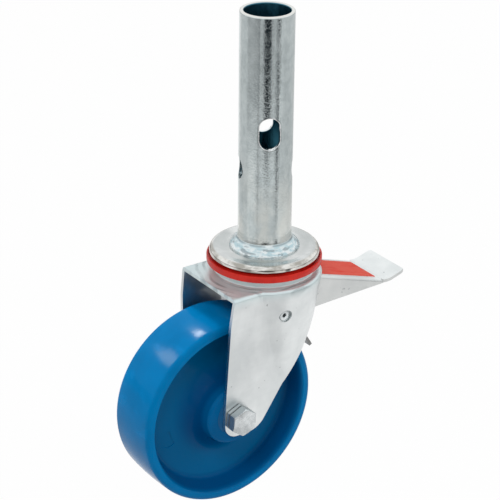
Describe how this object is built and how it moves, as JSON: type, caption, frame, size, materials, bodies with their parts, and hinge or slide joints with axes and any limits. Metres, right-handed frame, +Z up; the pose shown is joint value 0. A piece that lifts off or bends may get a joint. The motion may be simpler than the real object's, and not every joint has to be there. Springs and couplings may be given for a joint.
{
  "type": "scaffold castor",
  "caption": "Swivel castor with a tubular spigot, cross holes, pressed fork, solid plastic wheel and a foot pedal brake.",
  "frame": {"origin": "on the swivel axis where the spigot leaves its weld, which is where the scaffold tube's end comes to rest", "axes": "+Z up along the spigot, which is also the swivel axis; the wheel trails towards -X, the brake pedal points to +X, the axle lies along Y with its bolt head at -Y"},
  "size_m": [0.2404, 0.0909, 0.3777],
  "materials": {
    "zinc_tube": "zinc-plated drawn tube, soft vertical reflections",
    "weld_metal": "zinc-plated weld bead, rough",
    "zinc_head": "bright zinc plate, smooth",
    "zinc_sheet": "bright zinc-plated pressed sheet, satin",
    "zinc_fastener": "bright zinc-plated fasteners",
    "bearing_steel": "polished steel balls, greased",
    "seal_red": "red plastic, semi-gloss",
    "strip_red": "red strip, satin",
    "wheel_blue": "blue plastic, glossy",
    "bush_plastic": "natural plastic, matt",
    "spring_steel": "dark oiled spring steel, satin"
  },
  "bodies": {
    "stem": {"spigot": "zinc_tube", "weld_bead": "weld_metal", "head_plate": "zinc_head", "upper_balls": "bearing_steel", "lower_balls": "bearing_steel", "lower_race": "zinc_head", "lock_ring": "zinc_fastener", "king_bolt": "zinc_fastener", "king_nut": "zinc_fastener"},
    "fork": {"fork": "zinc_sheet", "dust_seal": "seal_red", "pivot_pin": "zinc_fastener", "pivot_spacers": "zinc_fastener", "hex_spacer": "zinc_fastener", "axle_bolt": "zinc_fastener", "axle_sleeve": "zinc_tube", "axle_washer": "zinc_fastener", "axle_nut": "zinc_fastener"},
    "wheel": {"wheel": "wheel_blue", "hub_bushes": "bush_plastic"},
    "pedal": {"brake_pedal": "zinc_sheet", "pedal_strip": "strip_red", "brake_shoe": "spring_steel", "shoe_rivets": "zinc_fastener", "lock_tongue": "spring_steel"}
  },
  "joints": [
    {"name": "swivel", "type": "hinge", "parent": "stem", "child": "fork", "pos_m": [0, 0, 0], "axis": [0, 0, 1], "continuous": true},
    {"name": "wheel_spin", "type": "hinge", "parent": "fork", "child": "wheel", "pos_m": [-0.045, 0, -0.1322], "axis": [0, 1, 0], "continuous": true},
    {"name": "brake", "type": "hinge", "parent": "fork", "child": "pedal", "pos_m": [-0.008, 0, -0.0541], "axis": [0, 1, 0], "range_deg": [0, 7]}
  ]
}
